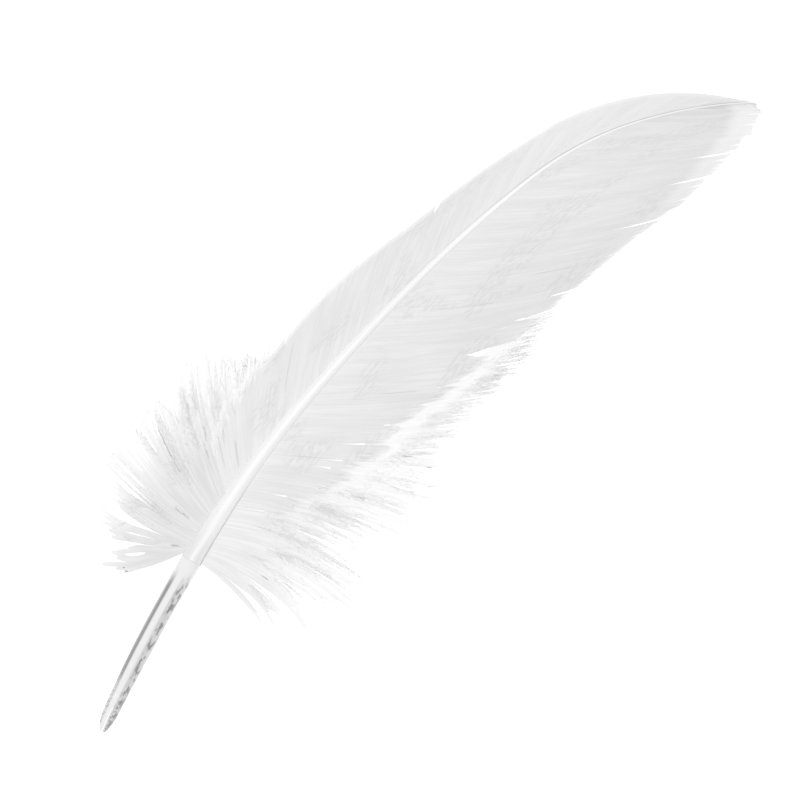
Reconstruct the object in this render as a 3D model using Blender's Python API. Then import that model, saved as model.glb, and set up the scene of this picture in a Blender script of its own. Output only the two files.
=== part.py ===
"""A quill pen made from a goose's flight feather, lying on a desk with its convex side up.

The design frame has its origin at the middle of the nib's end, +X towards the feather's tip,
+Y towards the narrow leading vane and +Z up. Lengths are in millimetres until a mesh is made.
A place on the shaft is its distance from the nib; a barb is named by the place it grows from.
"""

import math

import bmesh
import bpy
from mathutils import Vector

MILLIMETRE = 0.001
GAP = 0.3  # room between neighbouring pieces

# The shaft: its heading from +X turns evenly from one place to the next.
SHAFT_LENGTH = 302
SHAFT_SPAN = 289  # straight from the nib to the feather's tip
HEADINGS = (
    (0, 21.5),
    (45, 17),
    (90, 11.5),
    (130, 5),
    (180, 1),
    (225, -5.5),
    (262, -25.5),
    (302, -42),
)
ARCH = 7  # how far the shaft's middle rises over its ends
NIB_HEIGHT = 1.15

# The barrel, a bare horn tube: (place, radius).
BARREL_LENGTH = 62
BARREL_WALL = 0.55
BARREL_SIDES = 24
BARREL_RADII = (
    (-4, 0.5),
    (0, 1.15),
    (1.5, 1.7),
    (4, 2.25),
    (8, 2.6),
    (16, 2.75),
    (24, 3),
    (32, 3.15),
    (50, 3.2),
    (62, 3.4),
)
BARREL_PLACES = (0, 0.7, 1.5, 2.7, 4, 6, 8, 12, 16, 20, 24, 30, 38, 46, 54, 61.7)

# The nib: the scoop is cut from below up to these heights, and a slit parts the two tines.
SCOOP = ((-3, 0.1), (0, 0.1), (9, 0.05), (12.5, -0.8), (16, -2.6), (18.5, -4.5))
SCOOP_ROWS = 24
SLIT_LENGTH = 9
SLIT_WIDTH = 0.25
SLIT_ROWS = 4

# The dry pulp caps inside the barrel, strung on one strand.
CAPS_FROM, CAPS_TO, CAP_SPACING = 20, 56, 4
CAP_THICKNESS, CAP_TAIL = 0.3, 1.2
CAP_SIDES = 12
STRAND_RADIUS = 0.45

# The rachis: (place, width). It is a shell round a core of pith.
RACHIS_WIDTHS = (
    (62, 6.8),
    (75, 5.9),
    (95, 4.8),
    (125, 3.9),
    (150, 3.1),
    (175, 2.35),
    (205, 1.8),
    (235, 1.05),
    (270, 0.6),
    (302, 0.4),
)
RACHIS_END = 301.5
RACHIS_SIDES = 16
RACHIS_STEPS, CAVITY_STEPS, PITH_STEPS = 34, 16, 14
RACHIS_WALL = 0.5
DEPTH_PER_WIDTH = 0.92
SECTION_ROUNDNESS = 2.6  # 2 is an ellipse, and more is boxier
GROOVE_DEPTH = 0.3  # of the rachis's half depth
GROOVE_WIDTH = 0.4  # of its half width
PITH_FROM, PITH_TO = 58.5, 160
PITH_POINT = 0.5  # of its full size, where it plugs the barrel
PITH_NOSE = 2  # how long the plug's blunt nose is

# Barbs: (place, direction at the root, direction at the tip, webbed length, whole length). The
# directions are measured from +X. Past its webbed length a barb ends in loose down.
PLACE, ROOT_DIRECTION, TIP_DIRECTION, WEB, WHOLE = range(5)
LEADING_BARBS = (
    (63, 162, 148, 0, 24),
    (65.5, 128, 105, 0, 28),
    (68, 112, 93, 0, 33),
    (72, 102, 86, 0, 45),
    (77, 86, 66, 2, 43),
    (82, 74, 58, 8, 49),
    (88, 64, 50, 16, 45),
    (96, 53, 42, 24, 38),
    (105, 44, 35, 29, 31.5),
    (120, 40, 32, 31.8, 31.8),
    (140, 34, 25, 34, 34),
    (160, 31, 22, 30.5, 30.5),
    (180, 28, 18, 28.8, 28.8),
    (200, 24, 14, 26.8, 26.8),
    (220, 19, 8, 25.2, 25.2),
    (240, 8, -2, 22.5, 22.5),
    (255, -3, -14, 21, 21),
    (270, -14, -24, 17.2, 17.2),
    (285, -27, -34, 11, 11),
    (295, -35, -39, 5, 5),
    (299, -38, -41, 2.4, 2.4),
)
TRAILING_BARBS = (
    (63, -80, -102, 0, 28),
    (68, -60, -95, 0, 40),
    (74, -52, -88, 5, 52),
    (82, -52, -78, 14, 44),
    (97, -50, -64, 24, 54),
    (113, -46, -38, 36, 57),
    (131, -43, -33, 47, 65),
    (150, -43, -28, 56, 62),
    (180, -43, -27, 64.8, 64.8),
    (200, -42, -28, 69.2, 69.2),
    (220, -42, -31, 64.8, 64.8),
    (235, -43, -34, 58, 58),
    (250, -44, -38, 48.2, 48.2),
    (270, -43, -39, 32.5, 32.5),
    (290, -43, -41.5, 12.5, 12.5),
    (299, -43, -42.5, 3.5, 3.5),
)

# Where the barbs of each side come unzipped from their neighbours.
LEADING_DOWN = (62.5, 64.6, 66.8, 70, 74.5, 80, 86)
LEADING_FRINGE = (86, 94, 104)
LEADING_VANE = (86, 115, 138, 160, 196, 236, 299)
TRAILING_DOWN = (62.5, 66, 71, 77, 84)
TRAILING_FRINGE = (84, 92, 102, 113, 125, 138, 153)
TRAILING_VANE = (84, 104, 122, 150, 176, 200, 220, 246, 299)
UNZIPPED = 0.8  # the part between neighbouring sections, along the shaft
VANE_THICKNESS = 0.6
VANE_COLUMN = 6  # the width of one column of a section's faces, of which it has 4 or more
VANE_ROWS = 7
VANE_HEIGHT = 0.15  # of the rachis's width, above its middle
TIP_HEIGHT = 0.8  # every barb sags until its tip all but rests on the desk
SAG_POWER = 1.6
DOWN_THICKNESS = 3
FRINGE_THICKNESS = 1.6
TUFT_TAPER = 0.6  # how much of its width a tuft loses towards its tip
TUFT_COLUMNS, TUFT_ROWS = 4, 8
TUFT_ROOT, TUFT_TIP = 0.1, 0.9  # where its crown starts and ends, as shares of a half wave

SHARP_ANGLE = math.radians(40)

HORN = (0.83, 0.82, 0.79)
MEMBRANE = (0.62, 0.61, 0.58)
KERATIN = (0.93, 0.93, 0.91)
PITH = (0.96, 0.95, 0.92)
VANE = (0.86, 0.86, 0.85)
DOWN = (0.92, 0.92, 0.91)


def clear_scene():
    for old in list(bpy.data.objects):
        bpy.data.objects.remove(old)


def smooth(table, at, column=1):
    """A column of a table at a place, on a smooth curve through its rows."""
    last = len(table) - 1
    at = min(max(at, table[0][0]), table[last][0])
    row = max(i for i in range(last) if table[i][0] <= at)

    def slope(i):
        before, after = table[max(i - 1, 0)], table[min(i + 1, last)]
        return (after[column] - before[column]) / (after[0] - before[0])

    start, end = table[row], table[row + 1]
    span = end[0] - start[0]
    t = (at - start[0]) / span
    value = (1 + 2 * t) * (1 - t) ** 2 * start[column] + t * t * (3 - 2 * t) * end[column]
    return value + t * (1 - t) * span * ((1 - t) * slope(row) - t * slope(row + 1))


def heading(at):
    row = max(i for i in range(len(HEADINGS) - 1) if HEADINGS[i][0] <= at)
    (start, angle), (end, next_angle) = HEADINGS[row], HEADINGS[row + 1]
    return math.radians(angle + (next_angle - angle) * (at - start) / (end - start))


def shaft_line():
    """The shaft's middle at every millimetre of its length."""
    x, y = 0, 0
    points = []
    for place in range(SHAFT_LENGTH + 1):
        share = x / SHAFT_SPAN
        points.append(Vector((x, y, NIB_HEIGHT + 4 * ARCH * share * (1 - share))))
        angle = heading(min(place + 0.5, SHAFT_LENGTH))
        x += math.cos(angle)
        y += math.sin(angle)
    return points


SHAFT = shaft_line()


def shaft_middle(place):
    """The shaft's middle at a place, which may lie a little past either end."""
    step = min(max(int(place), 0), SHAFT_LENGTH - 1)
    return SHAFT[step] + (SHAFT[step + 1] - SHAFT[step]) * (place - step)


def on_shaft(place, left, up):
    """The point beside the shaft's middle, seen from the nib towards the feather's tip."""
    along = (shaft_middle(place + 1) - shaft_middle(place - 1)).normalized()
    leftward = Vector((0, 0, 1)).cross(along).normalized()
    return shaft_middle(place) + left * leftward + up * along.cross(leftward)


def add_piece(name, shape, colour, roughness, seen=True):
    """Makes an object of a mesh in millimetres, as a child of the pen's own empty."""
    if shape.calc_volume(signed=True) < 0:
        bmesh.ops.reverse_faces(shape, faces=shape.faces)
    bmesh.ops.scale(shape, vec=(MILLIMETRE,) * 3, verts=shape.verts)
    mesh = bpy.data.meshes.new(name)
    shape.to_mesh(mesh)
    shape.free()
    mesh.shade_smooth()
    mesh.set_sharp_from_angle(angle=SHARP_ANGLE)
    piece = bpy.data.objects.new(name, mesh)
    bpy.context.collection.objects.link(piece)
    piece.parent = bpy.data.objects["quill_pen"]
    if not seen:
        piece.hide_render = True
        piece.display_type = "WIRE"
        return piece
    finish = bpy.data.materials.new(name)
    finish.use_nodes = True
    shader = finish.node_tree.nodes["Principled BSDF"]
    shader.inputs["Base Color"].default_value = (*colour, 1)
    shader.inputs["Roughness"].default_value = roughness
    shader.inputs["Metallic"].default_value = 0
    mesh.materials.append(finish)
    return piece


def cut(piece, cutter):
    boolean = piece.modifiers.new(cutter.name, "BOOLEAN")
    boolean.operation = "DIFFERENCE"
    boolean.solver = "EXACT"
    boolean.object = cutter


def loft(rings, sides, section):
    """A closed solid with a ring at each place; section gives a ring's point at an angle."""
    shape = bmesh.new()
    bmesh.ops.create_cone(shape, cap_ends=True, segments=sides, radius1=1, radius2=1, depth=1)
    uprights = [edge for edge in shape.edges if abs(edge.verts[0].co.z - edge.verts[1].co.z) > 0.5]
    bmesh.ops.subdivide_edges(shape, edges=uprights, cuts=len(rings) - 2)
    for vertex in shape.verts:
        ring = rings[round((vertex.co.z + 0.5) * (len(rings) - 1))]
        angle = math.atan2(vertex.co.y, vertex.co.x) + math.pi / sides
        vertex.co = section(ring, angle)
    return shape


def slab(columns, rows, point):
    """A closed plate; point turns how far across, how far along and how high into a place."""
    shape = bmesh.new()
    bmesh.ops.create_grid(shape, x_segments=columns, y_segments=rows, size=0.5)
    top = bmesh.ops.extrude_face_region(shape, geom=shape.faces[:], use_keep_orig=True)
    raised = [item for item in top["geom"] if isinstance(item, bmesh.types.BMVert)]
    bmesh.ops.translate(shape, vec=(0, 0, 1), verts=raised)
    bmesh.ops.recalc_face_normals(shape, faces=shape.faces)
    for vertex in shape.verts:
        vertex.co = point(vertex.co.x + 0.5, vertex.co.y + 0.5, round(vertex.co.z))
    return shape


def evenly(start, end, steps):
    return [start + (end - start) * step / steps for step in range(steps + 1)]


def make_barrel():
    def outside(place, angle):
        radius = smooth(BARREL_RADII, place)
        return on_shaft(place, radius * math.cos(angle), radius * math.sin(angle))

    def inside(place, angle):
        radius = smooth(BARREL_RADII, place) - BARREL_WALL
        return on_shaft(place, radius * math.cos(angle), radius * math.sin(angle))

    def scooped(across, along, high):
        place = SCOOP[0][0] + (SCOOP[-1][0] - SCOOP[0][0]) * along
        half_width = 2 * BARREL_RADII[-1][1]
        up = smooth(SCOOP, place) if high else -half_width
        return on_shaft(place, half_width * (2 * across - 1), up)

    def slitted(across, along, high):
        up = BARREL_RADII[-1][1] if high else -BARREL_WALL
        return on_shaft(-1 + (SLIT_LENGTH + 1) * along, SLIT_WIDTH * (across - 0.5), up)

    barrel = add_piece("barrel", loft(BARREL_PLACES, BARREL_SIDES, outside), HORN, 0.3)
    bore_places = (-1, *BARREL_PLACES[1:-1], BARREL_LENGTH + 1)
    cut(barrel, add_piece("bore", loft(bore_places, BARREL_SIDES, inside), HORN, 0.3, seen=False))
    cut(barrel, add_piece("scoop", slab(2, SCOOP_ROWS, scooped), HORN, 0.3, seen=False))
    cut(barrel, add_piece("slit", slab(1, SLIT_ROWS, slitted), HORN, 0.3, seen=False))


def make_membrane():
    """Thin cups of dried pulp, each with a flat face and a cone behind it, along one strand."""
    rings = []
    for place in range(CAPS_FROM, CAPS_TO, CAP_SPACING):
        cap = smooth(BARREL_RADII, place) - BARREL_WALL - GAP
        rings += [
            (place, STRAND_RADIUS),
            (place + CAP_THICKNESS, cap),
            (place + 2 * CAP_THICKNESS, cap),
            (place + 2 * CAP_THICKNESS + CAP_TAIL, STRAND_RADIUS),
        ]

    def surface(ring, angle):
        place, radius = ring
        return on_shaft(place, radius * math.cos(angle), radius * math.sin(angle))

    add_piece("barrel_membrane", loft(rings, CAP_SIDES, surface), MEMBRANE, 0.7)


def rachis_section(place, angle, inset):
    """A point of the rachis's rounded, box-like section, which is grooved along its underside."""
    half_width = smooth(RACHIS_WIDTHS, place) / 2 - inset
    half_depth = smooth(RACHIS_WIDTHS, place) / 2 * DEPTH_PER_WIDTH - inset
    across = math.copysign(abs(math.cos(angle)) ** (2 / SECTION_ROUNDNESS), math.cos(angle))
    up = math.copysign(abs(math.sin(angle)) ** (2 / SECTION_ROUNDNESS), math.sin(angle))
    if up < 0:
        up *= 1 - GROOVE_DEPTH * math.exp(-((across / GROOVE_WIDTH) ** 2))
    return across * half_width, up * half_depth


def make_rachis():
    def outside(place, angle):
        return on_shaft(place, *rachis_section(place, angle, 0))

    def cavity(place, angle):
        return on_shaft(place, *rachis_section(place, angle, RACHIS_WALL))

    def core(place, angle):
        grown = (place - PITH_FROM) / (BARREL_LENGTH + 1 - PITH_FROM)
        size = min(1, PITH_POINT + (1 - PITH_POINT) * grown)
        across, up = rachis_section(place, angle, RACHIS_WALL + GAP)
        return on_shaft(place, across * size, up * size)

    outer_rings = evenly(BARREL_LENGTH, RACHIS_END, RACHIS_STEPS)
    rachis = add_piece("rachis", loft(outer_rings, RACHIS_SIDES, outside), KERATIN, 0.4)
    hollow = loft(evenly(BARREL_LENGTH - 1, PITH_TO + 2, CAVITY_STEPS), RACHIS_SIDES, cavity)
    cut(rachis, add_piece("cavity", hollow, KERATIN, 0.4, seen=False))
    core_rings = [PITH_FROM, PITH_FROM + PITH_NOSE, *evenly(BARREL_LENGTH + 1, PITH_TO, PITH_STEPS)]
    add_piece("rachis_pith", loft(core_rings, RACHIS_SIDES, core), PITH, 0.9)


def barb_point(barbs, side, place, reach):
    """The point at a distance along the barb that grows at a place."""
    width = smooth(RACHIS_WIDTHS, place)
    root = on_shaft(place, side * (width / 2 + GAP), VANE_HEIGHT * width)
    start = smooth(barbs, place, ROOT_DIRECTION)
    end = smooth(barbs, place, TIP_DIRECTION)
    whole = smooth(barbs, place, WHOLE)
    turned = math.radians(end - start) * reach / whole
    chord = reach * math.sin(turned / 2) / (turned / 2) if turned else reach
    direction = math.radians(start) + turned / 2
    sideways = Vector((chord * math.cos(direction), chord * math.sin(direction), 0))
    fallen = (TIP_HEIGHT - root.z) * (reach / whole) ** SAG_POWER
    return root + sideways + Vector((0, 0, fallen))


def make_vane(name, barbs, side, splits):
    """The webbed part of one vane, in the sections that its splits leave."""
    for number, (start, end) in enumerate(zip(splits, splits[1:]), 1):

        def surface(across, along, high, start=start, end=end):
            place = start + (end - UNZIPPED - start) * across
            point = barb_point(barbs, side, place, smooth(barbs, place, WEB) * along)
            point.z += VANE_THICKNESS * (high - 0.5)
            return point

        columns = max(4, round((end - start) / VANE_COLUMN))
        add_piece(f"{name}_{number}", slab(columns, VANE_ROWS, surface), VANE, 0.6)


def make_tufts(name, barbs, side, splits, thickness, webbed):
    """Tufts of down, on the bare rachis or past the edge of the web, one for each gap between splits."""
    for number, (start, end) in enumerate(zip(splits, splits[1:]), 1):

        def surface(across, along, high, start=start, end=end):
            spread = (end - UNZIPPED - start) * (1 - TUFT_TAPER * along * along)
            place = (start + end - UNZIPPED) / 2 + spread * (across - 0.5)
            root = smooth(barbs, place, WEB) + UNZIPPED if webbed else 0
            reach = root + (smooth(barbs, place, WHOLE) - root) * along
            wave = TUFT_ROOT + (TUFT_TIP - TUFT_ROOT) * along
            crown = (1 - (2 * across - 1) ** 2) * math.sin(math.pi * wave)
            half_thickness = (VANE_THICKNESS + (thickness - VANE_THICKNESS) * crown) / 2
            point = barb_point(barbs, side, place, reach)
            point.z += half_thickness * (2 * high - 1)
            return point

        add_piece(f"{name}_{number}", slab(TUFT_COLUMNS, TUFT_ROWS, surface), DOWN, 0.8)


def stand_on_origin(pen):
    """Moves the pen so that the origin is on the desk, under the middle of its box."""
    bpy.context.view_layer.update()
    graph = bpy.context.evaluated_depsgraph_get()
    points = []
    for piece in pen.children:
        if not piece.hide_render:
            points += [vertex.co.copy() for vertex in piece.evaluated_get(graph).data.vertices]
    low = Vector(min(point[axis] for point in points) for axis in range(3))
    high = Vector(max(point[axis] for point in points) for axis in range(3))
    pen.location = (-(low.x + high.x) / 2, -(low.y + high.y) / 2, -low.z)


clear_scene()
pen = bpy.data.objects.new("quill_pen", None)
bpy.context.collection.objects.link(pen)
make_barrel()
make_membrane()
make_rachis()
make_tufts("leading_down", LEADING_BARBS, 1, LEADING_DOWN, DOWN_THICKNESS, webbed=False)
make_tufts("leading_fringe", LEADING_BARBS, 1, LEADING_FRINGE, FRINGE_THICKNESS, webbed=True)
make_vane("leading_vane", LEADING_BARBS, 1, LEADING_VANE)
make_tufts("trailing_down", TRAILING_BARBS, -1, TRAILING_DOWN, DOWN_THICKNESS, webbed=False)
make_tufts("trailing_fringe", TRAILING_BARBS, -1, TRAILING_FRINGE, FRINGE_THICKNESS, webbed=True)
make_vane("trailing_vane", TRAILING_BARBS, -1, TRAILING_VANE)
stand_on_origin(pen)
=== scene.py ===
"""The looks of a quill pen made from a goose's flight feather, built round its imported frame.

Shapes are worked out in the pen's design frame, in millimetres: the origin is the middle of the
nib's end, +X runs towards the feather's tip and +Y towards the narrow leading vane. A place on the
shaft is its distance from the nib. Each piece then moves to its place in the frame, in metres.
"""

import math

import bmesh
import bpy
import numpy as np
from mathutils import Matrix, Vector


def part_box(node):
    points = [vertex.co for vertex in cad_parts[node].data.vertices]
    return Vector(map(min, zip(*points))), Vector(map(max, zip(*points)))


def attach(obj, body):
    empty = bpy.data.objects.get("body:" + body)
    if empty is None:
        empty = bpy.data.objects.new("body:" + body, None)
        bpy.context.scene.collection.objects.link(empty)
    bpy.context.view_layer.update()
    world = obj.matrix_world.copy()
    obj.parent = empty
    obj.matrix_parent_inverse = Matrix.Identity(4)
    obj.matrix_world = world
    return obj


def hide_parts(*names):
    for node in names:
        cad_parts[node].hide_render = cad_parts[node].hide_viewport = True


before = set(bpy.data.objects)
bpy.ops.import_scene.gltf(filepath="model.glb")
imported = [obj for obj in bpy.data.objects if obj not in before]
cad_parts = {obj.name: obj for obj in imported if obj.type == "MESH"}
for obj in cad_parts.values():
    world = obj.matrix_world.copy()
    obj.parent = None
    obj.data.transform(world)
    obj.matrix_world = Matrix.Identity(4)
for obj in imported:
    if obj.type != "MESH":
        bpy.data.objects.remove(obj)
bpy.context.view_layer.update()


# The view: straight down on the pen as it lies, turned so that the shaft climbs to the upper right.
# The lens is long, so that the pen's near and far parts keep their proportions.

VIEW_CENTRE = Vector((-0.0029, -0.0110, 0.005))
VIEW_WIDTH = 0.2537  # at the height of the view's centre
VIEW_TURN = math.radians(-43.73)

lens = bpy.data.cameras.new("view")
lens.lens = 100
lens.sensor_width = 36
camera = bpy.data.objects.new("view", lens)
camera.location = VIEW_CENTRE + Vector((0, 0, VIEW_WIDTH * lens.lens / lens.sensor_width))
camera.rotation_euler = (0, 0, VIEW_TURN)
bpy.context.collection.objects.link(camera)
bpy.context.scene.camera = camera


# The studio: a white table that glows a little from below, a pale room and one wide soft light
# over the leading vane. Whites are shown as they are, with no film curve.

FLOOR_SIZE = 6
TABLE_GREY = 0.9
TABLE_GLOW = 0.5
ROOM_GLOW = 0.54
LIGHT_PLACE = (-0.05, 0.12, 0.97)
LIGHT_SIZE = 0.32
LIGHT_POWER = 5.0

bpy.context.scene.view_settings.view_transform = "Standard"


def plain_finish(name):
    """A material with its node tree and its shader."""
    finish = bpy.data.materials.new(name)
    finish.use_nodes = True
    return finish, finish.node_tree, finish.node_tree.nodes["Principled BSDF"]


floor_finish, _, shader = plain_finish("white_table")
shader.inputs["Base Color"].default_value = (TABLE_GREY, TABLE_GREY, TABLE_GREY, 1)
shader.inputs["Roughness"].default_value = 1
shader.inputs["Specular IOR Level"].default_value = 0
shader.inputs["Emission Color"].default_value = (1, 1, 1, 1)
shader.inputs["Emission Strength"].default_value = TABLE_GLOW

table_top = bmesh.new()
bmesh.ops.create_grid(table_top, x_segments=1, y_segments=1, size=FLOOR_SIZE / 2)
floor_mesh = bpy.data.meshes.new("floor")
table_top.to_mesh(floor_mesh)
table_top.free()
floor_mesh.materials.append(floor_finish)
floor = bpy.data.objects.new("floor", floor_mesh)
bpy.context.collection.objects.link(floor)

room = bpy.data.worlds.new("room")
room.use_nodes = True
room.node_tree.nodes["Background"].inputs["Color"].default_value = (1, 1, 1, 1)
room.node_tree.nodes["Background"].inputs["Strength"].default_value = ROOM_GLOW
bpy.context.scene.world = room

lamp = bpy.data.lights.new("soft_light", "AREA")
lamp.size = LIGHT_SIZE
lamp.energy = LIGHT_POWER
soft_light = bpy.data.objects.new("soft_light", lamp)
soft_light.location = LIGHT_PLACE
soft_light.rotation_euler = Vector(LIGHT_PLACE).to_track_quat("Z", "Y").to_euler()
bpy.context.collection.objects.link(soft_light)


# The barrel: the bare, hollow horn end of the shaft, scraped clean. The nib is cut from below and
# has a slit between its two tines. Dried pulp still marks the wall inside. Every other piece hangs
# on the same bent and arched shaft, which is laid out here.

MILLIMETRE = 0.001
SHAFT_LENGTH = 302
SHAFT_SPAN = 289  # straight from the nib to the feather's tip
HEADINGS = (  # (place, the shaft's direction there, in degrees from +X)
    (0, 21.5),
    (45, 17),
    (90, 11.5),
    (130, 5),
    (180, 1),
    (225, -5.5),
    (262, -25.5),
    (302, -42),
)
ARCH = 7
NIB_HEIGHT = 1.15

BARREL_END = 61.98
BARREL_RADII = (
    (-4, 0.5),
    (0, 1.15),
    (1.5, 1.7),
    (4, 2.25),
    (8, 2.6),
    (16, 2.75),
    (24, 3),
    (32, 3.15),
    (50, 3.2),
    (62, 3.4),
)
BARREL_WALL = 0.55
BARREL_SIDES = 48
BARREL_RINGS = 60
BARREL_CREASE = math.radians(40)  # edges that turn by more than this stay sharp
CAD_BARREL_END, CAD_BARREL_SIDES = 61.7, 24
SCOOP = ((-3, 0.1), (0, 0.1), (9, 0.05), (12.5, -0.8), (16, -2.6), (18.5, -4.5))
SLIT_LENGTH = 9
SLIT_WIDTH = 0.25

RACHIS_WIDTHS = (
    (62, 6.8),
    (75, 5.9),
    (95, 4.8),
    (125, 3.9),
    (150, 3.1),
    (175, 2.35),
    (205, 1.8),
    (235, 1.05),
    (270, 0.6),
    (302, 0.4),
)
DEPTH_PER_WIDTH = 0.92
SECTION_ROUNDNESS = 2.6  # 2 is an ellipse, and more is boxier
GROOVE_DEPTH, GROOVE_WIDTH = 0.3, 0.4
SQUARES_FROM = 46  # where the round barrel starts to take the rachis's squarer shape


def smooth(table, at, column=1):
    """A column of a table at each place, on a smooth curve through its rows."""
    rows = np.array(table, float)
    places, values = rows[:, 0], rows[:, column]
    before = np.maximum(np.arange(len(rows)) - 1, 0)
    after = np.minimum(np.arange(len(rows)) + 1, len(rows) - 1)
    slopes = (values[after] - values[before]) / (places[after] - places[before])
    at = np.clip(at, places[0], places[-1])
    row = np.clip(np.searchsorted(places, at, "right") - 1, 0, len(rows) - 2)
    span = places[row + 1] - places[row]
    t = (at - places[row]) / span
    value = (1 + 2 * t) * (1 - t) ** 2 * values[row] + t * t * (3 - 2 * t) * values[row + 1]
    return value + t * (1 - t) * span * ((1 - t) * slopes[row] - t * slopes[row + 1])


def ease(share):
    """Rises smoothly from 0 to 1 while the share does."""
    share = np.clip(share, 0, 1)
    return share * share * (3 - 2 * share)


def shaft_line():
    """The shaft's middle at every millimetre of its length."""
    steps = np.arange(SHAFT_LENGTH) + 0.5
    places, angles = np.array(HEADINGS, float).T
    turn = np.radians(np.interp(steps, places, angles))
    x = np.concatenate(([0], np.cumsum(np.cos(turn))))
    y = np.concatenate(([0], np.cumsum(np.sin(turn))))
    share = x / SHAFT_SPAN
    return np.stack((x, y, NIB_HEIGHT + 4 * ARCH * share * (1 - share)), axis=1)


SHAFT = shaft_line()


def shaft_middle(place):
    step = np.clip(np.floor(place).astype(int), 0, SHAFT_LENGTH - 1)
    return SHAFT[step] + (SHAFT[step + 1] - SHAFT[step]) * (place - step)[:, None]


def one_long(arrows):
    """The same directions, each made one long."""
    return arrows / np.linalg.norm(arrows, axis=1)[:, None]


def shaft_axes(before, after):
    """The directions along, left of and above the shaft between two of its points."""
    along = one_long(after - before)
    leftward = one_long(np.cross((0, 0, 1), along))
    return along, leftward, np.cross(along, leftward)


def on_shaft(place, left, up):
    """The points beside the shaft's middle, seen from the nib towards the feather's tip."""
    _, leftward, upward = shaft_axes(shaft_middle(place - 1), shaft_middle(place + 1))
    return shaft_middle(place) + left[:, None] * leftward + up[:, None] * upward


def frame_origin():
    """The design frame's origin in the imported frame, from the corner of the barrel's upper end."""
    angle = (np.arange(CAD_BARREL_SIDES) + 0.5) * 2 * math.pi / CAD_BARREL_SIDES
    place = np.full(CAD_BARREL_SIDES, CAD_BARREL_END)
    radius = smooth(BARREL_RADII, place)
    rim = on_shaft(place, radius * np.cos(angle), radius * np.sin(angle))
    return np.array(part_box("barrel")[1]) - rim.max(axis=0) * MILLIMETRE


ORIGIN = frame_origin()


def keep_notes(mesh, name, noted):
    """Keeps a vector for each of a mesh's points."""
    kept = mesh.attributes.new(name, "FLOAT_VECTOR", "POINT")
    kept.data.foreach_set("vector", np.stack(noted, axis=1).astype(np.float32).ravel())


def make_piece(name, shape, places, finish, notes=None):
    """An object of a unit shape, each of whose points moves to its place on the pen.

    places turns the unit points into millimetres, and notes names a vector kept for each point."""
    mesh = bpy.data.meshes.new(name)
    shape.to_mesh(mesh)
    shape.free()
    unit = np.empty(len(mesh.vertices) * 3, np.float32)
    mesh.vertices.foreach_get("co", unit)
    points, noted = places(unit.reshape(-1, 3).astype(float), mesh)
    mesh.vertices.foreach_set("co", (points * MILLIMETRE + ORIGIN).astype(np.float32).ravel())
    if notes:
        keep_notes(mesh, notes, noted)
    mesh.update()
    mesh.shade_smooth()
    mesh.materials.append(finish)
    piece = bpy.data.objects.new(name, mesh)
    bpy.context.collection.objects.link(piece)
    return piece


def fit_piece(piece, node):
    """The piece stands for its plain solid in the frame and moves with the pen."""
    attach(piece, "root")
    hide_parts(node)


def rod(sides, rings):
    """A closed unit rod along Z, with the same number of points round each of its rings."""
    shape = bmesh.new()
    bmesh.ops.create_cone(shape, cap_ends=True, segments=sides, radius1=1, radius2=1, depth=1)
    uprights = [edge for edge in shape.edges if abs(edge.verts[0].co.z - edge.verts[1].co.z) > 0.5]
    bmesh.ops.subdivide_edges(shape, edges=uprights, cuts=rings - 2)
    return shape


INNER = 0.5  # the radius that marks the inner wall of a unit tube


def bore(shape, rings, through):
    """Sinks a round hole of half its radius into a unit rod's near end, or right through it."""
    near = min(shape.faces, key=lambda face: face.calc_center_median().z)
    far = max(shape.faces, key=lambda face: face.calc_center_median().z)
    bmesh.ops.inset_region(shape, faces=[near], thickness=1 - INNER)
    pushed = bmesh.ops.extrude_discrete_faces(shape, faces=[near])["faces"]
    bmesh.ops.translate(shape, vec=(0, 0, 1), verts=pushed[0].verts)
    if through:
        bmesh.ops.inset_region(shape, faces=[far], thickness=1 - INNER)
        bmesh.ops.delete(shape, geom=[far, pushed[0]], context="FACES_ONLY")
        bmesh.ops.remove_doubles(shape, verts=shape.verts, dist=0.0001)
    uprights = [edge for edge in shape.edges if abs(edge.verts[0].co.z - edge.verts[1].co.z) > 0.5]
    bmesh.ops.subdivide_edges(shape, edges=uprights, cuts=rings - 2)


def shaft_section(place, angle, inset):
    """Left and up of the rachis's rounded, box-like section, which is grooved along its underside."""
    half_width = smooth(RACHIS_WIDTHS, place) / 2 - inset
    half_depth = smooth(RACHIS_WIDTHS, place) / 2 * DEPTH_PER_WIDTH - inset
    power = 2 / SECTION_ROUNDNESS
    across = np.sign(np.cos(angle)) * np.abs(np.cos(angle)) ** power
    up = np.sign(np.sin(angle)) * np.abs(np.sin(angle)) ** power
    groove = 1 - GROOVE_DEPTH * np.exp(-((across / GROOVE_WIDTH) ** 2))
    return across * half_width, np.where(up < 0, up * groove, up) * half_depth


def barrel_places(unit, mesh):
    angle = np.arctan2(unit[:, 1], unit[:, 0])
    place = BARREL_END * (unit[:, 2] + 0.5)
    inset = np.where(np.hypot(unit[:, 0], unit[:, 1]) < (1 + INNER) / 2, BARREL_WALL, 0)
    radius = smooth(BARREL_RADII, place) - inset
    squared = ease((place - SQUARES_FROM) / (BARREL_END - SQUARES_FROM))
    left, up = shaft_section(place, angle, inset)
    left = left * squared + radius * np.cos(angle) * (1 - squared)
    up = up * squared + radius * np.sin(angle) * (1 - squared)
    return on_shaft(place, left, up), None


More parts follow.
